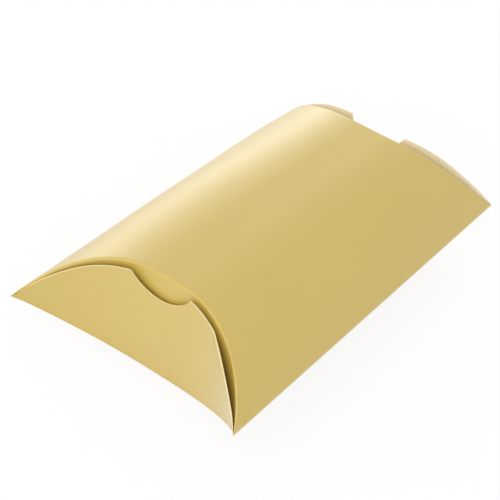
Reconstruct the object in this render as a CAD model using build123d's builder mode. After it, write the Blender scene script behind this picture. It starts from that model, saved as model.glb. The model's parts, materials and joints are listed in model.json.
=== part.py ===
from build123d import *
from math import asin, degrees, radians, tan
import os

# Pillow box folded from one sheet of thin card, in millimetres.
# X runs across the box, Y along it with the shown end at -Y, and Z is up.
# The origin is the middle of the flat strip of the belly that the box rests on.

# Sleeve: two bulging panels of one curve, joined at the side folds
sleeve_length = 153.0
sleeve_width = 80.0
bulge_rise = 19.8
crown_width = 9.0
card_thickness = 0.45

# Closed flaps: how far each leans out from upright before it is tucked, in degrees.
# The lean sets how deep the curved crease of that flap is cut into the end of the sleeve.
outer_flap_lean = 8.55
front_inner_flap_lean = -0.875
rear_inner_flap_lean = 5.5

# Creases and folds: narrow strips of card, with a raised bead along the side folds
crease_strip_width = 0.9
fold_strip_height = 1.1
bead_radius = 0.27

# Outer flaps: they rise from the bottom panel and have the thumb notch
outer_flap_inset = 1.2
outer_tip_radius = 0.6
thumb_radius = 11.5
thumb_depth = 6.5
thumb_corner_radius = 0.5

# Inner flaps: they hang from the top panel behind the outer flaps
inner_flap_inset = 1.2
inner_flap_width = 64.0
inner_flap_reach = 22.0
inner_end_reach = 15.5
inner_corner_radius = 4.0
inner_tuck_angle = 6.0

# Glued seam inside the left edge
glue_film = 0.08
glue_tab_width = 10.0
glue_tab_setback = 11.0
glue_tab_taper = 8.0
glue_line_start = 3.0
glue_line_width = 5.5
glue_line_setback = 22.0

# Worked out from the sizes above: a scallop is how far the middle of a curved crease
# lies in from the tips of the box
fold_level = bulge_rise
half_length = sleeve_length / 2
half_width = sleeve_width / 2
half_crown = crown_width / 2
shoulder_radius = ((half_width - half_crown) ** 2 + bulge_rise**2) / (2 * bulge_rise)
shoulder_drop = shoulder_radius - bulge_rise
middle_radius = shoulder_radius - card_thickness / 2
middle_rise = bulge_rise - card_thickness / 2
front_top_scallop = bulge_rise * tan(radians(45 + front_inner_flap_lean / 2))
rear_top_scallop = bulge_rise * tan(radians(45 + rear_inner_flap_lean / 2))
bottom_scallop = bulge_rise * tan(radians(45 + outer_flap_lean / 2))
blank_reach = half_length + 2 * bottom_scallop

# Views that the outlines are drawn in: end_view puts its zero on the fold level
end_view = Plane(origin=(0, 0, fold_level), x_dir=(1, 0, 0), z_dir=(0, -1, 0))
fold_plane = Plane.XY.offset(fold_level)


def mouth_plane(end, side, scallop):
    """Plane of a curved crease: end is -1 at the front, side is 1 for the top panel."""
    return Plane(
        origin=(0, end * half_length, fold_level),
        x_dir=(-end * side, 0, 0),
        z_dir=(0, end * bulge_rise, side * scallop),
    )


def lens(inset):
    """Outline of the sleeve seen end on, drawn in by inset."""
    radius = shoulder_radius - inset
    edge_angle = degrees(asin(shoulder_drop / radius))
    crown_level = bulge_rise - inset
    with BuildSketch() as outline:
        with BuildLine():
            Line((-half_crown, crown_level), (half_crown, crown_level))
            right = CenterArc((half_crown, -shoulder_drop), radius, edge_angle, 90 - edge_angle)
            left = CenterArc((-half_crown, -shoulder_drop), radius, 90, 90 - edge_angle)
            Line(left @ 1, right @ 0)
        make_face()
        mirror(about=Plane.XZ)
    return outline.sketch_local


front_top_mouth = mouth_plane(-1, 1, front_top_scallop)
front_bottom_mouth = mouth_plane(-1, -1, bottom_scallop)
rear_top_mouth = mouth_plane(1, 1, rear_top_scallop)
rear_bottom_mouth = mouth_plane(1, -1, bottom_scallop)

# Card tube: the sleeve before its mouths are cut, long enough to hold the unfolded flaps
with BuildPart() as card_tube:
    with BuildSketch(end_view):
        add(lens(0))
        add(lens(card_thickness), mode=Mode.SUBTRACT)
    extrude(amount=blank_reach, both=True)

# Top panel, between the side folds and the two scalloped mouths
with BuildPart() as top_panel:
    add(card_tube.part)
    split(bisect_by=fold_plane.offset(fold_strip_height), keep=Keep.TOP)
    split(bisect_by=front_top_mouth.offset(-crease_strip_width), keep=Keep.BOTTOM)
    split(bisect_by=rear_top_mouth.offset(-crease_strip_width), keep=Keep.BOTTOM)

# Bottom panel, whose crown is the flat strip that the box rests on
with BuildPart() as bottom_panel:
    add(card_tube.part)
    split(bisect_by=fold_plane.offset(-fold_strip_height), keep=Keep.BOTTOM)
    split(bisect_by=front_bottom_mouth.offset(-crease_strip_width), keep=Keep.BOTTOM)
    split(bisect_by=rear_bottom_mouth.offset(-crease_strip_width), keep=Keep.BOTTOM)


def side_fold(side):
    """Folded edge of the sleeve, side 1 on the right, with its bead along the bend."""
    bead_x = half_crown + (middle_radius**2 - shoulder_drop**2) ** 0.5
    with BuildPart() as fold:
        add(card_tube.part)
        split(bisect_by=fold_plane.offset(fold_strip_height), keep=Keep.BOTTOM)
        split(bisect_by=fold_plane.offset(-fold_strip_height), keep=Keep.TOP)
        split(bisect_by=Plane.YZ, keep=Keep.TOP if side > 0 else Keep.BOTTOM)
        with BuildSketch(end_view):
            with Locations((side * bead_x, 0)):
                Circle(bead_radius)
        extrude(amount=blank_reach, both=True)
        for mouth in (front_top_mouth, front_bottom_mouth, rear_top_mouth, rear_bottom_mouth):
            split(bisect_by=mouth.offset(-crease_strip_width), keep=Keep.BOTTOM)
    return fold.part


def crease(mouth, side):
    """Scored strip of card along a curved crease, where the flap bends."""
    with BuildPart() as strip:
        add(card_tube.part)
        split(bisect_by=mouth.offset(-crease_strip_width), keep=Keep.TOP)
        split(bisect_by=mouth, keep=Keep.BOTTOM)
        split(bisect_by=fold_plane, keep=Keep.TOP if side > 0 else Keep.BOTTOM)
    return strip.part


def outer_flap_outline():
    """Outline of an outer flap seen end on: the sleeve's lens with a thumb notch."""
    thumb_level = bulge_rise - outer_flap_inset - thumb_depth + thumb_radius
    with BuildSketch() as outline:
        add(lens(outer_flap_inset))
        tips = outline.vertices().group_by(Axis.X)
        fillet(tips[0] + tips[-1], outer_tip_radius)
        with Locations((0, thumb_level)):
            Circle(thumb_radius, mode=Mode.SUBTRACT)
        fillet(outline.vertices().group_by(Axis.Y)[-1], thumb_corner_radius)
    return outline.sketch_local


def inner_flap_outline():
    """Outline of an inner flap seen end on, with a rounded lower rim and corners."""
    half_flap = inner_flap_width / 2
    end_level = bulge_rise - inner_end_reach
    with BuildSketch() as outline:
        with BuildLine():
            Polyline((-half_flap, end_level), (-half_flap, bulge_rise), (half_flap, bulge_rise),
                     (half_flap, end_level))
            ThreePointArc((half_flap, end_level), (0, bulge_rise - inner_flap_reach),
                          (-half_flap, end_level))
        make_face()
        lower_corners = outline.vertices().group_by(Axis.Y)[0]
        fillet(lower_corners, inner_corner_radius)
        add(lens(inner_flap_inset), mode=Mode.INTERSECT)
    return outline.sketch_local


def flap(mouth, side, outline):
    """Closed flap: the panel's own curve beyond the crease, folded back across the mouth."""
    with BuildPart() as folded:
        add(card_tube.part)
        split(bisect_by=mouth, keep=Keep.TOP)
        split(bisect_by=fold_plane, keep=Keep.TOP if side > 0 else Keep.BOTTOM)
        mirror(about=mouth, mode=Mode.REPLACE)
        with BuildSketch(end_view):
            add(outline)
        extrude(amount=blank_reach, both=True, mode=Mode.INTERSECT)
    return folded.part


def crown_hinge(end, side, scallop):
    """Line across the crown, in the middle of the card, that a flap turns about."""
    hinge_y = end * (half_length - scallop * middle_rise / bulge_rise)
    return Axis(origin=(0, hinge_y, fold_level + side * middle_rise), direction=(1, 0, 0))


# Glue tab inside the left edge, tapered at both ends to stay clear of the flaps
with BuildPart() as glue_tab:
    with BuildSketch(end_view):
        add(lens(card_thickness + glue_film))
        add(lens(2 * card_thickness + glue_film), mode=Mode.SUBTRACT)
    extrude(amount=half_length, both=True)
    split(bisect_by=fold_plane.offset(fold_strip_height), keep=Keep.TOP)
    long_half = half_length - glue_tab_setback
    short_half = long_half - glue_tab_taper
    with BuildSketch(fold_plane):
        with BuildLine():
            Polyline((-half_width, -long_half), (glue_tab_width - half_width, -short_half),
                     (glue_tab_width - half_width, short_half), (-half_width, long_half), close=True)
        make_face()
    extrude(amount=bulge_rise, mode=Mode.INTERSECT)

# Film of glue between the tab and the top panel
with BuildPart() as glue_line:
    with BuildSketch(end_view):
        add(lens(card_thickness))
        add(lens(card_thickness + glue_film), mode=Mode.SUBTRACT)
    extrude(amount=half_length - glue_line_setback, both=True)
    split(bisect_by=fold_plane, keep=Keep.TOP)
    split(bisect_by=Plane.YZ.offset(glue_line_start - half_width), keep=Keep.TOP)
    split(bisect_by=Plane.YZ.offset(glue_line_start + glue_line_width - half_width), keep=Keep.BOTTOM)

# Folds and creases
with BuildPart() as right_side_fold:
    add(side_fold(1))
with BuildPart() as left_side_fold:
    add(side_fold(-1))
with BuildPart() as front_inner_crease:
    add(crease(front_top_mouth, 1))
with BuildPart() as front_outer_crease:
    add(crease(front_bottom_mouth, -1))
with BuildPart() as rear_inner_crease:
    add(crease(rear_top_mouth, 1))
with BuildPart() as rear_outer_crease:
    add(crease(rear_bottom_mouth, -1))

# Flaps: the inner ones are folded a little past square, so that they lie behind the outer ones
front_top_hinge = crown_hinge(-1, 1, front_top_scallop)
rear_top_hinge = crown_hinge(1, 1, rear_top_scallop)
with BuildPart() as front_outer_flap:
    add(flap(front_bottom_mouth, -1, outer_flap_outline()))
with BuildPart() as rear_outer_flap:
    add(flap(rear_bottom_mouth, -1, outer_flap_outline()))
with BuildPart() as front_inner_flap:
    add(flap(front_top_mouth, 1, inner_flap_outline()).rotate(front_top_hinge, inner_tuck_angle))
with BuildPart() as rear_inner_flap:
    add(flap(rear_top_mouth, 1, inner_flap_outline()).rotate(rear_top_hinge, -inner_tuck_angle))

os.makedirs("parts", exist_ok=True)

top_panel.part.label = "top_panel"
export_step(top_panel.part, "parts/top_panel.step")
bottom_panel.part.label = "bottom_panel"
export_step(bottom_panel.part, "parts/bottom_panel.step")
right_side_fold.part.label = "right_side_fold"
export_step(right_side_fold.part, "parts/right_side_fold.step")
left_side_fold.part.label = "left_side_fold"
export_step(left_side_fold.part, "parts/left_side_fold.step")
glue_tab.part.label = "glue_tab"
export_step(glue_tab.part, "parts/glue_tab.step")
glue_line.part.label = "glue_line"
export_step(glue_line.part, "parts/glue_line.step")
front_outer_crease.part.label = "front_outer_crease"
export_step(front_outer_crease.part, "parts/front_outer_crease.step")
front_inner_crease.part.label = "front_inner_crease"
export_step(front_inner_crease.part, "parts/front_inner_crease.step")
rear_outer_crease.part.label = "rear_outer_crease"
export_step(rear_outer_crease.part, "parts/rear_outer_crease.step")
rear_inner_crease.part.label = "rear_inner_crease"
export_step(rear_inner_crease.part, "parts/rear_inner_crease.step")
front_outer_flap.part.label = "front_outer_flap"
export_step(front_outer_flap.part, "parts/front_outer_flap.step")
front_inner_flap.part.label = "front_inner_flap"
export_step(front_inner_flap.part, "parts/front_inner_flap.step")
rear_outer_flap.part.label = "rear_outer_flap"
export_step(rear_outer_flap.part, "parts/rear_outer_flap.step")
rear_inner_flap.part.label = "rear_inner_flap"
export_step(rear_inner_flap.part, "parts/rear_inner_flap.step")
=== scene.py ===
import json
from math import asin, atan, atan2, cos, exp, pi, radians, sin, sqrt, tan

import bpy
from mathutils import Matrix, Vector


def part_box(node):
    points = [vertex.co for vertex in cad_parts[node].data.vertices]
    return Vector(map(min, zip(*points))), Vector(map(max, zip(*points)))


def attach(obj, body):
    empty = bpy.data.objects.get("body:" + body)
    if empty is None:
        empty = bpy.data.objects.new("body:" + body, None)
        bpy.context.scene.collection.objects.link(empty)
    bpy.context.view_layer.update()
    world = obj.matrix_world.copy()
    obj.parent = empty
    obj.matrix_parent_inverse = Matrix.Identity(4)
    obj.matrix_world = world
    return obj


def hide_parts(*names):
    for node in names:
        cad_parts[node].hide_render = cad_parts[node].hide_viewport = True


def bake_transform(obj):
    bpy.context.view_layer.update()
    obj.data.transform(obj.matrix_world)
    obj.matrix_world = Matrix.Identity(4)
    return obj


# A pillow box folded from one sheet of satin gold card.
# X runs across the box, Y along it with the shown end at -Y, and Z is up. All sizes are in metres.
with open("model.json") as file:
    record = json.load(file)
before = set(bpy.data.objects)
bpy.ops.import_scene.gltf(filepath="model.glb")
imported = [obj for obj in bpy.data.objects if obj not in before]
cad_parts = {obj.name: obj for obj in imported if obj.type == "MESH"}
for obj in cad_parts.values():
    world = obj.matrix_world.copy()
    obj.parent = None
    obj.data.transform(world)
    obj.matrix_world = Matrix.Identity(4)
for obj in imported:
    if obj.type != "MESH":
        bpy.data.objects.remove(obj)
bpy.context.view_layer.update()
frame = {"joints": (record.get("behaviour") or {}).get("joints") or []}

MM = 0.001
DEGREE = radians(1)

# Sizes that the frame gives
crease_low, crease_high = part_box("front_inner_crease")
HALF_WIDTH = crease_high.x
HALF_LENGTH = -crease_low.y
FOLD_LEVEL = crease_low.z
BULGE_RISE = crease_high.z - crease_low.z
hinge_places = {joint["name"]: Vector(joint["pos_m"]) for joint in frame["joints"]}

# Card and sleeve
CARD = 0.45 * MM
HALF_CROWN = 4.5 * MM
SHOULDER_RADIUS = ((HALF_WIDTH - HALF_CROWN) ** 2 + BULGE_RISE**2) / (2 * BULGE_RISE)
SHOULDER_DROP = SHOULDER_RADIUS - BULGE_RISE
EDGE_SLOPE = asin((HALF_WIDTH - HALF_CROWN) / SHOULDER_RADIUS)

# The sleeve isn't quite even: the top panel's left shoulder is fuller near the shown end and a little
# lower at the far end, where its right shoulder is fuller and the left corner hangs down
LEFT_FULL = 1.0 * MM
LEFT_FULL_PLACE = -16 * MM
LEFT_FULL_REACH = 38 * MM
LEFT_SINK = 0.6 * MM
CORNER_DROP = 3.0 * MM  # the far left corner hangs lower than the other three
CORNER_DROP_START = 35 * MM
RIGHT_FULL = 0.9 * MM
RIGHT_FULL_REACH = 45 * MM
SHOULDER_PUSH_ANGLE = 50 * DEGREE

# Creases and folds
CREASE_RADIUS = 0.9 * MM  # of the card's outer face round a curved crease
CREASE_MARGIN = 0.6 * MM  # flat card on the panel's side of a crease
FULL_CREASE_RISE = 3.0 * MM  # the crease tightens towards the tips below this height
TIP_RADIUS = 0.05 * MM
FULL_CARD_RISE = 6.0 * MM  # the flaps are pressed thinner towards the tips below this height
TIP_CARD_SHARE = 0.12
BARE_RISE = 0.8 * MM  # below this height the pressed rim doesn't show its raw card
FOLD_RADIUS = 0.7 * MM  # of the card's outer face round a side fold
FOLD_STRIP = 1.3 * MM  # half the height of the strip that holds a side fold
FOLD_TURN = pi / 2 - EDGE_SLOPE
FOLD_START = HALF_CROWN + SHOULDER_RADIUS * EDGE_SLOPE - FOLD_RADIUS * tan(FOLD_TURN)
HALF_GIRTH = FOLD_START + FOLD_RADIUS * FOLD_TURN

# Outer flaps
# How far the rims stay below the crease: at the left tip, away from the tips and at the right tip
FRONT_RIM_GAPS = (1.2 * MM, 1.9 * MM, 1.0 * MM)
REAR_RIM_GAPS = (1.2 * MM, 1.1 * MM, 0.2 * MM)
RIM_GAP_RUN = 12 * MM
FRONT_RIM_LIFT = 1.1 * MM  # the rim stands higher just right of the thumb notch
RIM_LIFT_PLACE = 9 * MM
RIM_LIFT_REACH = 8 * MM
TIP_SHARE = 0.5
THUMB_RADIUS = 11.5 * MM
THUMB_LEVEL = BULGE_RISE - 8.0 * MM  # height of the notch's bottom above the fold level
THUMB_CORNER = 0.5 * MM
FRONT_THUMB_SHIFT = -1.5 * MM  # the notches lie a little to the left of the middle
REAR_THUMB_SHIFT = -0.7 * MM
POP_START = 19.3 * MM  # the front flap's right part stands off from here
POP_SLOPE = 0.66 * DEGREE / MM
REAR_SPREAD_START = 8 * MM  # the rear flap stands off from here, more on its right
REAR_SPREAD_LEFT = 0.22 * DEGREE / MM
REAR_SPREAD_RIGHT = 0.26 * DEGREE / MM
ROOT_LEAN_SHARE = 0.4  # how far on in its ease a lean already is at the root of the flap

# Inner flaps
INNER_HALF_WIDTH = 32 * MM
INNER_REACH = 22 * MM
INNER_END_REACH = 15.5 * MM
INNER_CORNER = 2 * MM
INNER_TIP_SHARE = 0.15  # level of the inner flap's rim beside the tips, as a share of the rise
INNER_TUCK = 5 * DEGREE
INNER_FOLLOW = 0.95  # the inner flap's ends lean out after the outer ones by this share
INNER_BOW = 0.75 * MM  # how far it springs out towards the outer flap behind the thumb notch
BOW_PLACE = 6 * MM
BOW_REACH = 15 * MM
INNER_CLEAR_LEFT = 1.15 * MM  # how far its lower ends keep in, behind the outer flap
INNER_CLEAR_RIGHT = 0.25 * MM
CLEAR_RISE = 7 * MM
CLEAR_REACH = 5.5 * MM
CLEAR_EASE = 1.6

# Glued seam under the top panel's left shoulder, measured in from the left edge and the ends
GLUE_FILM = 0.08 * MM
TAB_START = 1.5 * MM
TAB_WIDTH = 10 * MM
TAB_SETBACK = 11 * MM
TAB_TAPER = 8 * MM
GLUE_START = 3 * MM
GLUE_END = 8.5 * MM
GLUE_SETBACK = 22 * MM

# The gold face is rubbed along the creases and the cut rims, and painted highlights lie along the side
# folds and beside the front crease's right tip, with a painted sheen over the outer flaps
BEND_WEAR_AND_HIGHLIGHT_REACH = 0.5 * MM
RIM_WEAR_REACH = 0.35 * MM
RIM_WEAR = 0.3
# the side folds are rubbed and carry a painted highlight along them
FOLD_WEAR_AND_HIGHLIGHT = 0.7
CREASE_WEAR = 0.04
TIP_HIGHLIGHT = 0.6  # a painted highlight lies on the front crease beside its right tip
TIP_HIGHLIGHT_START = 30 * MM
TIP_HIGHLIGHT_RUN = 6 * MM
FLAP_SHEEN = 0.2  # a painted sheen over the outer flaps' faces, and a painted highlight on the front one beside its right tip
FLAP_TIP_HIGHLIGHT = 0.3
FLAP_TIP_START = 12 * MM
FLAP_TIP_RUN = 24 * MM
FLAP_SHEEN_RUN = 4 * MM

# Grid of a sheet
GIRTH_COLUMNS = 260
FOLD_COLUMNS = 10
PANEL_ROWS = 60
ARC_ROWS = 8
FLAP_ROWS = 28
SEAM_COLUMNS = 16
SEAM_ROWS = 80
SMOOTH_ANGLE = 40 * DEGREE
LEAST_RADIUS = 1e-6 * MM  # divides in place of a corner's radius where that runs out to nothing

# Material slots of a card sheet: the gold face, the plain side and the raw edge
PLAIN_SIDE_OFFSET = 1
RAW_EDGE_INDEX = 2

# Grain of the card, and the noise and amount of its rub and painted highlights: the scales are noise steps
# per millimetre
FIBRE_STRETCH = (1.0, 0.4, 1.0)  # fibres lie along the sleeve
FIBRE_DETAIL = 4.0
FIBRE_SHOW = 0.35
CLOUD_SCALE = 0.045
CLOUD_DETAIL = 2.0
SCUFF_SCALE = 0.55
SCUFF_DETAIL = 1.0
SCUFF_START = 0.80
SCUFF_FULL = 0.84
SCUFF_SHOW = 0.45
BREAKUP_SCALE = 0.9
BREAKUP_DETAIL = 3.0
BREAKUP_LEAST = 0.3
WEAR_AND_HIGHLIGHT_AMOUNT = 0.55
NOISE_LOW = 0.3
NOISE_HIGH = 0.7
BUMP_DISTANCE = 0.05 * MM

# Finishes: the scale of the fibres, the range of the roughness and the strength of the bump
GOLD_FIBRES = 1.5
GOLD_ROUGHNESS = (0.40, 0.48)
GOLD_BUMP = 0.12
GOLD_COAT = 0.9
GOLD_COAT_ROUGHNESS = 0.42
PLAIN_FIBRES = 1.1
PLAIN_ROUGHNESS = (0.62, 0.78)
PLAIN_BUMP = 0.25
EDGE_FIBRES = 3.0
EDGE_ROUGHNESS = (0.78, 0.90)
EDGE_BUMP = 0.5
GLUE_FIBRES = 0.7
GLUE_ROUGHNESS = (0.25, 0.40)
GLUE_BUMP = 0.4
GLUE_COAT = 0.3

# Colours
GOLD_DEEP = (0.550, 0.396, 0.069)
GOLD = (0.563, 0.407, 0.075)
GOLD_FIBRE = (0.580, 0.424, 0.088)
# pale gold of rubbed places, and of the painted highlights and sheen
GOLD_WORN_AND_LIT = (0.80, 0.68, 0.36)
CREAM_DEEP = (0.87, 0.75, 0.48)
CREAM = (0.90, 0.79, 0.53)
CREAM_FIBRE = (0.92, 0.83, 0.58)
EDGE_DEEP = (0.70, 0.57, 0.27)
EDGE = (0.78, 0.66, 0.34)
EDGE_FIBRE = (0.85, 0.75, 0.44)
GLUE_DEEP = (0.60, 0.47, 0.24)
GLUE = (0.70, 0.58, 0.34)
GLUE_BUBBLE = (0.80, 0.70, 0.48)
WHITE = (1, 1, 1, 1)


# Shape of the sleeve

def section(s):
    """Place across and height above the fold level of a point s along the panel's girth."""
    past_crown = abs(s) - HALF_CROWN
    if past_crown <= 0:
        return s, BULGE_RISE
    turn = min(past_crown, FOLD_START - HALF_CROWN) / SHOULDER_RADIUS
    across = HALF_CROWN + SHOULDER_RADIUS * sin(turn)
    rise = SHOULDER_RADIUS * cos(turn) - SHOULDER_DROP
    if abs(s) > FOLD_START:
        fold_turn = EDGE_SLOPE + (abs(s) - FOLD_START) / FOLD_RADIUS
        across += FOLD_RADIUS * (sin(fold_turn) - sin(EDGE_SLOPE))
        rise = FOLD_RADIUS * cos(fold_turn)
    return (across if s > 0 else -across), max(rise, 0)


def rise_at(x):
    """Height of the outer face above the fold level at x."""
    past_crown = max(abs(x) - HALF_CROWN, 0)
    return max(sqrt(max(SHOULDER_RADIUS**2 - past_crown**2, 0)) - SHOULDER_DROP, 0)


def girth_at_rise(rise):
    """Place along the girth where the panel has that height."""
    level = rise + SHOULDER_DROP
    return HALF_CROWN + SHOULDER_RADIUS * atan2(sqrt(SHOULDER_RADIUS**2 - level**2), level)


def steps(start, stop, count):
    """count + 1 even steps from start to stop."""
    return [start + (stop - start) * i / count for i in range(count + 1)]


def eased_steps(count):
    """count + 1 shares from 0 to 1, close together at both ends."""
    return [(1 - cos(turn)) / 2 for turn in steps(0, pi, count)]


def smooth(t):
    """Smooth step from 0 to 1."""
    t = min(max(t, 0), 1)
    return t * t * (3 - 2 * t)


def fading(distance, reach):
    """1 at a line, fading to 0 over the reach."""
    return exp(-((distance / reach) ** 2))


def settle(point):
    """Makes the sleeve uneven: the top panel's shoulders, and the far left corner that hangs down."""
    out = min(abs(point.x) / HALF_WIDTH, 1)
    risen = smooth(2 * (point.z - FOLD_LEVEL) / BULGE_RISE)
    if point.x < 0:
        full = LEFT_FULL * fading(point.y - LEFT_FULL_PLACE, LEFT_FULL_REACH)
        full -= LEFT_SINK * smooth(point.y / HALF_LENGTH)
        push = full * risen * sin(pi * out**2)
        near_corner = max(point.y - CORNER_DROP_START, 0) / (HALF_LENGTH - CORNER_DROP_START)
        past_crown = max(-point.x - HALF_CROWN, 0) / (HALF_WIDTH - HALF_CROWN)
        drop = CORNER_DROP * (near_corner * past_crown) ** 2
        pushed = point + push * Vector((-sin(SHOULDER_PUSH_ANGLE), 0, cos(SHOULDER_PUSH_ANGLE)))
        return pushed - Vector((0, 0, drop))
    full = RIGHT_FULL * fading(point.y - HALF_LENGTH, RIGHT_FULL_REACH)
    return point + Vector((0, 0, full * risen * sin(pi * out) ** 2))


class Mouth:
    """A curved crease and the flap on it: end is -1 at the front, side is 1 on the top panel."""

    def __init__(self, joint, end, side):
        self.end = end
        self.side = side
        self.hinge = hinge_places[joint]
        middle_rise = BULGE_RISE - CARD / 2
        self.scallop = (HALF_LENGTH - abs(self.hinge.y)) * BULGE_RISE / middle_rise
        self.turn = 2 * atan(BULGE_RISE / self.scallop)

    def corner(self, x, rise):
        """Point on the crease before it is rounded."""
        out = HALF_LENGTH - self.scallop * rise / BULGE_RISE
        return Vector((x, self.end * out, FOLD_LEVEL + self.side * rise))

    def bend_radius(self, rise):
        return TIP_RADIUS + (CREASE_RADIUS - TIP_RADIUS) * min(rise / FULL_CREASE_RISE, 1)

    def bend_length(self, rise):
        return self.bend_radius(rise) * self.turn

    def tangent_run(self, rise):
        return self.bend_radius(rise) * tan(self.turn / 2)

    def panel_end(self, x, rise):
        """Where the panel stops and the crease strip begins."""
        return self.corner(x, rise) - Vector((0, self.end, 0)) * (self.tangent_run(rise) + CREASE_MARGIN)

    def crease_point(self, x, rise, share):
        """Point round the bend: share runs from 0 on the panel to 1 on the flap."""
        along = Vector((0, self.end, 0))
        inward = Vector((0, 0, -self.side))
        radius = self.bend_radius(rise)
        angle = self.turn * share
        centre = self.corner(x, rise) - along * self.tangent_run(rise) + inward * radius
        return centre + radius * (along * sin(angle) - inward * cos(angle))

    def flap_way(self, lean=0.0):
        """Direction that the closed flap runs in from the crease."""
        angle = self.turn - lean
        return Vector((0, self.end * cos(angle), -self.side * sin(angle)))

    def turn_share(self, point):
        """How much of the joint's turn a point's two faces take: none on the crease, all at the crown.

        It is the angle at the crown between the point and the plane that the crease lies in.
        The whole turn then lays the flap out as the panel's own curve carried on. The outer
        face takes a little more, so that the card keeps its thickness beside the tips.
        """
        crown = self.corner(0, BULGE_RISE)
        out = Vector((0, self.end * self.scallop, -self.side * BULGE_RISE))
        arm = Vector((0, point.y - crown.y, point.z - crown.z))
        across = (out.y * arm.z - out.z * arm.y) * -self.end * self.side
        angle = min(max(atan2(across, out.dot(arm)), 0), self.turn / 2)
        lag = self.turn / 2 - angle
        gain = 2 * CARD * sin(lag) * tan(lag) / (max(arm.length, CARD) * self.turn)
        share = 2 * angle / self.turn
        return min(share + gain, 1), share


# Outlines of the flaps: how long each flap is, measured along its own face, at x

def rounded_lower(a, b, radius):
    """The lower of a and b, with the corner between them rounded."""
    blend = max(radius - abs(a - b), 0) / max(radius, LEAST_RADIUS)
    return min(a, b) - blend * blend * radius / 4


def outer_rim(end, x):
    """Height of the outer flap's rim above the fold level."""
    left_gap, middle_gap, right_gap = FRONT_RIM_GAPS if end < 0 else REAR_RIM_GAPS
    tip_gap = left_gap if x < 0 else right_gap
    gap = tip_gap + (middle_gap - tip_gap) * smooth((HALF_WIDTH - abs(x)) / RIM_GAP_RUN)
    if end < 0:
        gap -= FRONT_RIM_LIFT * fading(x - RIM_LIFT_PLACE, RIM_LIFT_REACH)
    rise = rise_at(x)
    rim = max(rise - gap, (TIP_SHARE - 1) * rise)
    from_thumb = x - (FRONT_THUMB_SHIFT if end < 0 else REAR_THUMB_SHIFT)
    if abs(from_thumb) < THUMB_RADIUS:
        thumb = THUMB_LEVEL + THUMB_RADIUS - sqrt(THUMB_RADIUS**2 - from_thumb**2)
        return rounded_lower(rim, thumb, THUMB_CORNER)
    return rim


def outer_length(mouth, x, rise):
    return (outer_rim(mouth.end, x) + rise) / sin(mouth.turn)


def inner_length(mouth, x, rise):
    sag = INNER_REACH - INNER_END_REACH
    rim_radius = (INNER_HALF_WIDTH**2 + sag**2) / (2 * sag)
    curved = BULGE_RISE - INNER_REACH + rim_radius - sqrt(rim_radius**2 - x**2)
    rim = rounded_lower(curved, INNER_TIP_SHARE * rise, INNER_CORNER * min(rise / INNER_REACH, 1))
    return (rise - rim) / sin(mouth.turn)


def lean_out(end, x):
    """How much further than the crease folds it the outer flap leans out at x."""
    if end < 0:
        return POP_SLOPE * max(x - POP_START, 0)
    spread = REAR_SPREAD_LEFT if x < 0 else REAR_SPREAD_RIGHT
    return spread * max(abs(x) - REAR_SPREAD_START, 0)


# Sheets of card

def card_sheet(name, columns, rows, place, flipped):
    """A grid of card: place gives each column and row its point, its share of rub and painted highlight,
    and distance along.
    """
    bpy.ops.object.select_all(action="DESELECT")
    bpy.ops.mesh.primitive_grid_add(x_subdivisions=columns, y_subdivisions=rows, size=1)
    sheet = bpy.context.object
    sheet.name = name
    sheet.data.name = name
    wears_and_highlights = []
    surface_places = []
    for vertex in sheet.data.vertices:
        # The grid starts out from -0.5 to 0.5 both ways
        column = round((vertex.co.x + 0.5) * columns)
        row = round((vertex.co.y + 0.5) * rows)
        vertex.co, wear_and_highlight, across, along = place(column, row)
        wears_and_highlights.append(wear_and_highlight)
        surface_places.append((across / MM, along / MM))
    sheet.data.attributes.new("wear_and_highlight", "FLOAT", "POINT").data.foreach_set("value", wears_and_highlights)
    surface = sheet.data.uv_layers[0]
    surface.name = "card"
    for loop in sheet.data.loops:
        surface.data[loop.index].uv = surface_places[loop.vertex_index]
    if flipped:
        bpy.ops.object.mode_set(mode="EDIT")
        bpy.ops.mesh.select_all(action="SELECT")
        bpy.ops.mesh.flip_normals()
        bpy.ops.object.mode_set(mode="OBJECT")
    return sheet


def press_tips(sheet):
    """Weights that let the card run thin towards the two tips."""
    pressed = sheet.vertex_groups.new(name="pressed")
    for vertex in sheet.data.vertices:
        pressed.add([vertex.index], smooth(rise_at(vertex.co.x) / FULL_CARD_RISE), "REPLACE")
    return pressed


def thicken(sheet, pressed=None, thickness=CARD, materials=None):
    """Gives the sheet its thickness inwards, closed all round: it is card if no materials are named."""
    for material in materials or (gold_face, plain_side, raw_edge):
        sheet.data.materials.append(material)
    wall = sheet.modifiers.new("card", "SOLIDIFY")
    wall.thickness = thickness
    wall.offset = -1
    wall.use_rim = True
    wall.material_offset = PLAIN_SIDE_OFFSET
    if pressed:
        wall.vertex_group = pressed.name
        wall.thickness_vertex_group = TIP_CARD_SHARE
    bpy.context.view_layer.objects.active = sheet
    bpy.ops.object.modifier_apply(modifier=wall.name)
    sheet.vertex_groups.clear()
    bpy.ops.object.select_all(action="DESELECT")
    sheet.select_set(True)
    bpy.ops.object.shade_smooth_by_angle(angle=SMOOTH_ANGLE)


def bare_cut_rim(sheet, columns, rows):
    """Shows the raw card along the last row: the other edges are joints inside the card."""
    points = (columns + 1) * (rows + 1)
    first_of_rim = points - (columns + 1)
    for face in sheet.data.polygons:
        on_rim = all(corner % points >= first_of_rim for corner in face.vertices)
        if on_rim and rise_at(face.center.x) > BARE_RISE:
            face.material_index = RAW_EDGE_INDEX


# Materials

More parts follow.
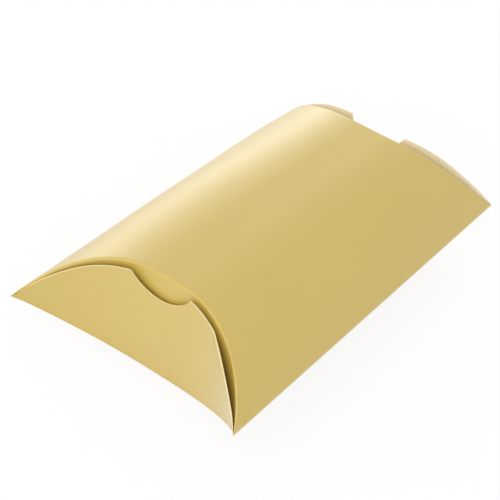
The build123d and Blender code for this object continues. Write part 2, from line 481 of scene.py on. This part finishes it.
def new_group(name, inputs, outputs):
    """A shader node group with named sockets, and its two ends."""
    group = bpy.data.node_groups.new(name, "ShaderNodeTree")
    for socket, kind, value in inputs:
        entry = group.interface.new_socket(socket, in_out="INPUT", socket_type=kind)
        if value is not None:
            entry.default_value = value
    for socket, kind in outputs:
        group.interface.new_socket(socket, in_out="OUTPUT", socket_type=kind)
    return group, group.nodes.new("NodeGroupInput"), group.nodes.new("NodeGroupOutput")


def place_noise(tree, vector, scale, detail):
    noise = tree.nodes.new("ShaderNodeTexNoise")
    noise.inputs["Detail"].default_value = detail
    tree.links.new(vector, noise.inputs["Vector"])
    if isinstance(scale, float):
        noise.inputs["Scale"].default_value = scale
    else:
        tree.links.new(scale, noise.inputs["Scale"])
    return noise.outputs["Fac"]


def place_range(tree, value, low, high, to_low, to_high):
    """Maps low..high of a value to to_low..to_high."""
    spread = tree.nodes.new("ShaderNodeMapRange")
    for socket, number in (("From Min", low), ("From Max", high), ("To Min", to_low), ("To Max", to_high)):
        spread.inputs[socket].default_value = number
    tree.links.new(value, spread.inputs["Value"])
    return spread.outputs["Result"]


def card_grain_group():
    """Fibres, faint clouds and scuffs of the card, over a surface measured in millimetres."""
    group, ends_in, ends_out = new_group(
        "card_grain",
        [("Surface", "NodeSocketVector", None), ("Fibre Scale", "NodeSocketFloat", GOLD_FIBRES)],
        [("Fibre", "NodeSocketFloat"), ("Cloud", "NodeSocketFloat"), ("Scuff", "NodeSocketFloat")])
    lengthen = group.nodes.new("ShaderNodeMapping")
    lengthen.inputs["Scale"].default_value = FIBRE_STRETCH
    group.links.new(ends_in.outputs["Surface"], lengthen.inputs["Vector"])
    fibre = place_noise(group, lengthen.outputs["Vector"], ends_in.outputs["Fibre Scale"], FIBRE_DETAIL)
    cloud = place_noise(group, ends_in.outputs["Surface"], CLOUD_SCALE, CLOUD_DETAIL)
    speck = place_noise(group, ends_in.outputs["Surface"], SCUFF_SCALE, SCUFF_DETAIL)
    group.links.new(place_range(group, fibre, NOISE_LOW, NOISE_HIGH, 0, 1), ends_out.inputs["Fibre"])
    group.links.new(place_range(group, cloud, NOISE_LOW, NOISE_HIGH, 0, 1), ends_out.inputs["Cloud"])
    group.links.new(place_range(group, speck, SCUFF_START, SCUFF_FULL, 0, 1), ends_out.inputs["Scuff"])
    return group


def bend_wear_and_highlight_group():
    """Mask of the rubbed rims and creases and of the painted highlights and sheen, broken up by the
    fibres.
    """
    group, ends_in, ends_out = new_group(
        "bend_wear_and_highlight",
        [("Surface", "NodeSocketVector", None), ("Amount", "NodeSocketFloat", WEAR_AND_HIGHLIGHT_AMOUNT)],
        [("Wear And Highlight", "NodeSocketFloat")])
    worn_and_lit = group.nodes.new("ShaderNodeAttribute")
    worn_and_lit.attribute_name = "wear_and_highlight"
    breakup = place_noise(group, ends_in.outputs["Surface"], BREAKUP_SCALE, BREAKUP_DETAIL)
    patches = place_range(group, breakup, NOISE_LOW, NOISE_HIGH, BREAKUP_LEAST, 1)
    broken = group.nodes.new("ShaderNodeMath")
    broken.operation = "MULTIPLY"
    group.links.new(worn_and_lit.outputs["Fac"], broken.inputs[0])
    group.links.new(patches, broken.inputs[1])
    scaled = group.nodes.new("ShaderNodeMath")
    scaled.operation = "MULTIPLY"
    group.links.new(broken.outputs[0], scaled.inputs[0])
    group.links.new(ends_in.outputs["Amount"], scaled.inputs[1])
    group.links.new(scaled.outputs[0], ends_out.inputs["Wear And Highlight"])
    return group


card_grain = card_grain_group()
bend_wear_and_highlight = bend_wear_and_highlight_group()


def mixed(tree, factor, plain, other):
    """Colour between plain and other: each is a colour or another node's output."""
    mix = tree.nodes.new("ShaderNodeMix")
    mix.data_type = "RGBA"
    tree.links.new(factor, mix.inputs["Factor"])
    for socket, colour in (("A", plain), ("B", other)):
        entry = next(entry for entry in mix.inputs if entry.name == socket and entry.type == "RGBA")
        if isinstance(colour, tuple):
            entry.default_value = (*colour, 1)
        else:
            tree.links.new(colour, entry)
    return next(entry for entry in mix.outputs if entry.type == "RGBA")


def card_material(name, on_sheet, fibre_scale, colours, rough, bump):
    """Card with clouds, fibres, scuffs, rub and painted highlights: colours are deep, plain, fibre, and
    the pale colour of rubbed and lit places.
    """
    material = bpy.data.materials.new(name)
    material.use_nodes = True
    tree = material.node_tree
    shader = tree.nodes["Principled BSDF"]
    if on_sheet:
        surface = tree.nodes.new("ShaderNodeUVMap")
        surface.uv_map = "card"
        surface_out = surface.outputs["UV"]
    else:
        surface = tree.nodes.new("ShaderNodeTexCoord")
        in_mm = tree.nodes.new("ShaderNodeMapping")
        in_mm.inputs["Scale"].default_value = (1 / MM, 1 / MM, 1 / MM)
        tree.links.new(surface.outputs["Object"], in_mm.inputs["Vector"])
        surface_out = in_mm.outputs["Vector"]
    grain = tree.nodes.new("ShaderNodeGroup")
    grain.node_tree = card_grain
    grain.inputs["Fibre Scale"].default_value = fibre_scale
    tree.links.new(surface_out, grain.inputs["Surface"])
    deep, plain, fibre, worn_and_lit = colours
    colour = mixed(tree, grain.outputs["Cloud"], deep, plain)
    fibre_mask = place_range(tree, grain.outputs["Fibre"], 0, 1, 0, FIBRE_SHOW)
    colour = mixed(tree, fibre_mask, colour, fibre)
    if on_sheet:
        wear_and_highlight = tree.nodes.new("ShaderNodeGroup")
        wear_and_highlight.node_tree = bend_wear_and_highlight
        wear_and_highlight.inputs["Amount"].default_value = WEAR_AND_HIGHLIGHT_AMOUNT
        tree.links.new(surface_out, wear_and_highlight.inputs["Surface"])
        # rubbed places and the painted highlights and sheen turn the pale colour
        colour = mixed(tree, wear_and_highlight.outputs["Wear And Highlight"], colour, worn_and_lit)
        scuff_mask = place_range(tree, grain.outputs["Scuff"], 0, 1, 0, SCUFF_SHOW)
        colour = mixed(tree, scuff_mask, colour, worn_and_lit)
    tree.links.new(colour, shader.inputs["Base Color"])
    tree.links.new(place_range(tree, grain.outputs["Fibre"], 0, 1, *rough), shader.inputs["Roughness"])
    relief = tree.nodes.new("ShaderNodeBump")
    relief.inputs["Strength"].default_value = bump
    relief.inputs["Distance"].default_value = BUMP_DISTANCE
    tree.links.new(grain.outputs["Fibre"], relief.inputs["Height"])
    tree.links.new(relief.outputs["Normal"], shader.inputs["Normal"])
    return material, shader


def gold_material():
    colours = (GOLD_DEEP, GOLD, GOLD_FIBRE, GOLD_WORN_AND_LIT)
    material, shader = card_material("gold_face", True, GOLD_FIBRES, colours, GOLD_ROUGHNESS, GOLD_BUMP)
    shader.inputs["Coat Weight"].default_value = GOLD_COAT
    shader.inputs["Coat Roughness"].default_value = GOLD_COAT_ROUGHNESS
    return material


def plain_material():
    colours = (CREAM_DEEP, CREAM, CREAM_FIBRE, EDGE_FIBRE)
    return card_material("plain_side", True, PLAIN_FIBRES, colours, PLAIN_ROUGHNESS, PLAIN_BUMP)[0]


def edge_material():
    colours = (EDGE_DEEP, EDGE, EDGE_FIBRE, EDGE_FIBRE)
    return card_material("raw_edge", True, EDGE_FIBRES, colours, EDGE_ROUGHNESS, EDGE_BUMP)[0]


def glue_material():
    colours = (GLUE_DEEP, GLUE, GLUE_BUBBLE, GLUE_BUBBLE)
    material, shader = card_material("dried_glue", False, GLUE_FIBRES, colours, GLUE_ROUGHNESS, GLUE_BUMP)
    shader.inputs["Coat Weight"].default_value = GLUE_COAT
    return material


gold_face = gold_material()
plain_side = plain_material()
raw_edge = edge_material()

# Places across the girth, the same for the panels and the creases so that they meet point for point
STRIP_GIRTH = girth_at_rise(FOLD_STRIP)
strip = steps(STRIP_GIRTH, HALF_GIRTH, FOLD_COLUMNS)
panel_places = steps(-STRIP_GIRTH, STRIP_GIRTH, GIRTH_COLUMNS)
girth_places = [-s for s in reversed(strip[1:])] + panel_places + strip[1:]
panel_shares = eased_steps(PANEL_ROWS)
flap_shares = eased_steps(FLAP_ROWS)

front_inner = Mouth("front_inner_hinge", -1, 1)
front_outer = Mouth("front_outer_hinge", -1, -1)
rear_inner = Mouth("rear_inner_hinge", 1, 1)
rear_outer = Mouth("rear_outer_hinge", 1, -1)


def sleeve_point(front, rear, s, share):
    """Point on the sleeve between two mouths, its share of rub and painted highlight along the side folds,
    and its place on the card.
    """
    x, rise = section(s)
    point = front.panel_end(x, rise).lerp(rear.panel_end(x, rise), share)
    # rub and a painted highlight along the side folds
    wear_and_highlight = FOLD_WEAR_AND_HIGHLIGHT * fading(HALF_GIRTH - abs(s), BEND_WEAR_AND_HIGHLIGHT_REACH)
    return settle(point), wear_and_highlight, s, point.y


def make_panel(name, front, rear):
    """The upper or lower bulging face of the sleeve, between its two mouths."""
    def place(column, row):
        return sleeve_point(front, rear, panel_places[column], panel_shares[row])

    panel = card_sheet(name, GIRTH_COLUMNS, PANEL_ROWS, place, front.side < 0)
    thicken(panel)
    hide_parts(name)
    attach(panel, "sleeve")


def make_side_fold(name, hand):
    """Rounded fold between the panels along one edge: hand is 1 on the right."""
    def place(column, row):
        top = column <= FOLD_COLUMNS
        s = hand * strip[column if top else 2 * FOLD_COLUMNS - column]
        if top:
            return sleeve_point(front_inner, rear_inner, s, panel_shares[row])
        return sleeve_point(front_outer, rear_outer, s, panel_shares[row])

    fold = card_sheet(name, 2 * FOLD_COLUMNS, PANEL_ROWS, place, hand < 0)
    thicken(fold)
    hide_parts(name)
    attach(fold, "sleeve")


def inner_spring(mouth, x, rise, share):
    """How an inner flap springs out behind the notch and keeps in beside the tips."""
    bow = INNER_BOW * fading(x - BOW_PLACE, BOW_REACH) * sin(pi * share)
    clear = INNER_CLEAR_RIGHT if x > 0 and mouth.end < 0 else INNER_CLEAR_LEFT
    clear *= fading(rise - CLEAR_RISE, CLEAR_REACH) * smooth(CLEAR_EASE * share)
    return Vector((0, mouth.end * (bow - clear), 0))


def flap_wear_and_highlight(mouth, x, past_bend, to_rim):
    """Rub and painted light of a flap: rubbed along its crease and its rim, a painted highlight on the
    front inner flap's crease beside its right tip, and a painted sheen over an outer flap, more beside the
    front one's right tip.
    """
    crease_wear_and_highlight = CREASE_WEAR
    if mouth is front_inner:
        # painted highlight on the front crease beside its right tip
        crease_wear_and_highlight += TIP_HIGHLIGHT * smooth((x - TIP_HIGHLIGHT_START) / TIP_HIGHLIGHT_RUN)
    wear_and_highlight = crease_wear_and_highlight * fading(past_bend, BEND_WEAR_AND_HIGHLIGHT_REACH)
    wear_and_highlight = max(wear_and_highlight, RIM_WEAR * fading(to_rim, RIM_WEAR_REACH))
    if mouth.side < 0:
        # painted sheen over an outer flap, with a painted highlight beside the front one's right tip
        flap_sheen_and_highlight = FLAP_SHEEN
        if mouth is front_outer:
            flap_sheen_and_highlight += FLAP_TIP_HIGHLIGHT * smooth((x - FLAP_TIP_START) / FLAP_TIP_RUN)
        wear_and_highlight = max(wear_and_highlight, flap_sheen_and_highlight * smooth(past_bend / FLAP_SHEEN_RUN))
    return wear_and_highlight


def make_flap(name, mouth, length, tuck, lean_share):
    """A flap with its rounded crease, from the panel's edge to its rim."""
    columns = len(girth_places) - 1
    rows = 1 + ARC_ROWS + FLAP_ROWS

    def place(column, row):
        s = girth_places[column]
        x, rise = section(s)
        root = mouth.crease_point(x, rise, 1)
        root_shares = mouth.turn_share(root)
        bend = mouth.bend_length(rise)
        if row == 0:
            point = mouth.panel_end(x, rise)
            face_shares = (0.0, 0.0)
            past_bend = -bend / 2 - CREASE_MARGIN
            to_rim = HALF_LENGTH
        elif row <= 1 + ARC_ROWS:
            arc_share = (row - 1) / ARC_ROWS
            point = mouth.crease_point(x, rise, arc_share)
            face_shares = [share * smooth(arc_share) for share in root_shares]
            past_bend = (arc_share - 0.5) * bend
            to_rim = HALF_LENGTH
        else:
            share = flap_shares[row - 1 - ARC_ROWS]
            run = max(length(mouth, x, rise) - mouth.tangent_run(rise), 0)
            face_shares = mouth.turn_share(root + mouth.flap_way() * run * share)
            lean = lean_share * lean_out(mouth.end, x) * smooth(ROOT_LEAN_SHARE + share)
            point = root + mouth.flap_way(lean) * run * share
            past_bend = bend / 2 + run * share
            to_rim = run * (1 - share)
            if tuck:
                point += inner_spring(mouth, x, rise, share)
        if tuck:
            about = Matrix.Rotation(-tuck * mouth.end * mouth.side * face_shares[1], 3, "X")
            point = mouth.hinge + about @ (point - mouth.hinge)
        wear_and_highlight = flap_wear_and_highlight(mouth, x, past_bend, to_rim)
        return settle(point), wear_and_highlight, s, mouth.end * (HALF_LENGTH + past_bend)

    flap = card_sheet(name, columns, rows, place, mouth.end * mouth.side < 0)
    thicken(flap, press_tips(flap))
    bare_cut_rim(flap, columns, rows)
    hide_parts(name, name.replace("flap", "crease"))
    mouth.hinge + mouth.flap_way() * INNER_REACH
    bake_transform(flap)


def under_top_panel(x, y, depth):
    """Point at that depth under the outer face of the top panel's left shoulder."""
    turn = asin(min(max(abs(x) - HALF_CROWN, 0) / SHOULDER_RADIUS, 1))
    face = settle(Vector((x, y, FOLD_LEVEL + rise_at(x))))
    return face + depth * Vector((sin(turn), 0, -cos(turn)))


def make_seam_sheet(name, start, stop, half_at_start, half_at_stop, depth, slot, **wall):
    """A sheet under the left shoulder, from start to stop in from the edge."""
    def place(column, row):
        share = column / SEAM_COLUMNS
        x = start + (stop - start) * share - HALF_WIDTH
        half = half_at_start + (half_at_stop - half_at_start) * share
        y = half * (2 * row / SEAM_ROWS - 1)
        return under_top_panel(x, y, depth), 0.0, x, y

    sheet = card_sheet(name, SEAM_COLUMNS, SEAM_ROWS, place, False)
    thicken(sheet, **wall)
    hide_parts(name)
    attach(sheet, "sleeve")
    return sheet


def make_seam():
    """The tab inside the left edge, with bare cut edges, and the glue that holds it to the panel."""
    tab_half = HALF_LENGTH - TAB_SETBACK
    tab = make_seam_sheet("glue_tab", TAB_START, TAB_WIDTH, tab_half, tab_half - TAB_TAPER,
                          CARD + GLUE_FILM, "gold_card")
    points = (SEAM_COLUMNS + 1) * (SEAM_ROWS + 1)
    for face in tab.data.polygons:
        reaches_both_faces = min(face.vertices) < points <= max(face.vertices)
        if reaches_both_faces:
            face.material_index = RAW_EDGE_INDEX
    glue_half = HALF_LENGTH - GLUE_SETBACK
    make_seam_sheet("glue_line", GLUE_START, GLUE_END, glue_half, glue_half,
                    CARD, "glue", thickness=GLUE_FILM, materials=(glue_material(),))


make_panel("top_panel", front_inner, rear_inner)
make_panel("bottom_panel", front_outer, rear_outer)
make_seam()
make_side_fold("right_side_fold", 1)
make_side_fold("left_side_fold", -1)
make_flap("front_inner_flap", front_inner, inner_length, INNER_TUCK, INNER_FOLLOW)
make_flap("rear_inner_flap", rear_inner, inner_length, INNER_TUCK, INNER_FOLLOW)
make_flap("front_outer_flap", front_outer, outer_length, tuck=0.0, lean_share=1.0)
make_flap("rear_outer_flap", rear_outer, outer_length, tuck=0.0, lean_share=1.0)

# Camera, at the photograph's place
CAMERA_TURN = 27.22 * DEGREE
CAMERA_LIFT = 37.50 * DEGREE
CAMERA_ROLL = 12.52 * DEGREE
CAMERA_REACH = 498.4 * MM
CAMERA_LENS = 115.35
SENSOR = 36.0
CAMERA_AIM = Vector((-3.49 * MM, -6.06 * MM, FOLD_LEVEL))


def make_camera():
    away = cos(CAMERA_LIFT)
    back = Vector((sin(CAMERA_TURN) * away, -cos(CAMERA_TURN) * away, sin(CAMERA_LIFT)))
    level = Vector((cos(CAMERA_TURN), sin(CAMERA_TURN), 0))
    upright = back.cross(level)
    right = level * cos(CAMERA_ROLL) + upright * sin(CAMERA_ROLL)
    up = upright * cos(CAMERA_ROLL) - level * sin(CAMERA_ROLL)
    data = bpy.data.cameras.new("camera")
    data.lens = CAMERA_LENS
    data.sensor_width = SENSOR
    data.clip_start = 10 * MM
    camera = bpy.data.objects.new("camera", data)
    bpy.context.scene.collection.objects.link(camera)
    turn = Matrix((right, up, back)).transposed()
    camera.matrix_world = Matrix.Translation(CAMERA_AIM + back * CAMERA_REACH) @ turn.to_4x4()
    bpy.context.scene.camera = camera


# Soft studio light: a white room that is a little brighter to the front and left, a low panel
# behind the left shoulder and a low fill in front
ROOM_LEVEL = 0.95
ROOM_WAY = (-0.10, -0.24, 0.05)
LEFT_LAMP_PLACE = (-0.66, 0.68, 0.12)
LEFT_LAMP_SIZE = (1.1, 0.30)
LEFT_LAMP_POWER = 2.6
FRONT_LAMP_PLACE = (0.10, -0.74, 0.42)
FRONT_LAMP_SIZE = (0.6, 0.4)
FRONT_LAMP_POWER = 1.4


def make_lamp(name, place, size, power):
    data = bpy.data.lights.new(name, "AREA")
    data.shape = "RECTANGLE"
    data.size, data.size_y = size
    data.energy = power
    lamp = bpy.data.objects.new(name, data)
    bpy.context.scene.collection.objects.link(lamp)
    lamp.location = place
    aim = Vector((0, 0, FOLD_LEVEL))
    lamp.rotation_euler = (Vector(place) - aim).to_track_quat("Z", "Y").to_euler()


def seen_white(nodes, links):
    """1 for the rays that see the room as plain white: from the camera, mirrored and let through."""
    path = nodes.new("ShaderNodeLightPath")
    seen = path.outputs["Is Camera Ray"]
    for kind in ("Is Glossy Ray", "Is Transmission Ray"):
        either = nodes.new("ShaderNodeMath")
        either.operation = "MAXIMUM"
        links.new(seen, either.inputs[0])
        links.new(path.outputs[kind], either.inputs[1])
        seen = either.outputs[0]
    return seen


def make_room():
    room = bpy.data.worlds.new("studio")
    bpy.context.scene.world = room
    room.use_nodes = True
    nodes, links = room.node_tree.nodes, room.node_tree.links
    light = nodes["Background"]
    light.inputs["Color"].default_value = WHITE
    way = nodes.new("ShaderNodeTexCoord")
    towards = nodes.new("ShaderNodeVectorMath")
    towards.operation = "DOT_PRODUCT"
    towards.inputs[1].default_value = ROOM_WAY
    level = nodes.new("ShaderNodeMath")
    level.inputs[1].default_value = ROOM_LEVEL
    links.new(way.outputs["Generated"], towards.inputs[0])
    links.new(towards.outputs["Value"], level.inputs[0])
    links.new(level.outputs[0], light.inputs["Strength"])
    shown = nodes.new("ShaderNodeBackground")
    shown.inputs["Color"].default_value = WHITE
    mix = nodes.new("ShaderNodeMixShader")
    links.new(seen_white(nodes, links), mix.inputs[0])
    links.new(light.outputs[0], mix.inputs[1])
    links.new(shown.outputs[0], mix.inputs[2])
    links.new(mix.outputs[0], nodes["World Output"].inputs["Surface"])


FLOOR_SIZE = 6.0
FLOOR_COLOUR = (0.9, 0.9, 0.9)
FLOOR_ROUGHNESS = 0.9
FLOOR_WHITE_SHARE = 0.88  # the rest of the floor's look is its own, with the object's shadow


def make_floor():
    bpy.ops.object.select_all(action="DESELECT")
    bpy.ops.mesh.primitive_plane_add(size=FLOOR_SIZE)
    floor = bpy.context.object
    floor.name = "floor"
    material = bpy.data.materials.new("floor_white")
    material.use_nodes = True
    nodes, links = material.node_tree.nodes, material.node_tree.links
    shader = nodes["Principled BSDF"]
    shader.inputs["Base Color"].default_value = (*FLOOR_COLOUR, 1)
    shader.inputs["Roughness"].default_value = FLOOR_ROUGHNESS
    white = nodes.new("ShaderNodeEmission")
    white.inputs["Strength"].default_value = 1.0
    soften = nodes.new("ShaderNodeMath")
    soften.operation = "MULTIPLY"
    soften.inputs[1].default_value = FLOOR_WHITE_SHARE
    mix = nodes.new("ShaderNodeMixShader")
    links.new(seen_white(nodes, links), soften.inputs[0])
    links.new(soften.outputs[0], mix.inputs[0])
    links.new(shader.outputs[0], mix.inputs[1])
    links.new(white.outputs[0], mix.inputs[2])
    links.new(mix.outputs[0], nodes["Material Output"].inputs["Surface"])
    floor.data.materials.append(material)


make_camera()
make_room()
make_floor()
make_lamp("left_lamp", LEFT_LAMP_PLACE, LEFT_LAMP_SIZE, LEFT_LAMP_POWER)
make_lamp("front_lamp", FRONT_LAMP_PLACE, FRONT_LAMP_SIZE, FRONT_LAMP_POWER)

bpy.context.scene.view_settings.view_transform = "Standard"
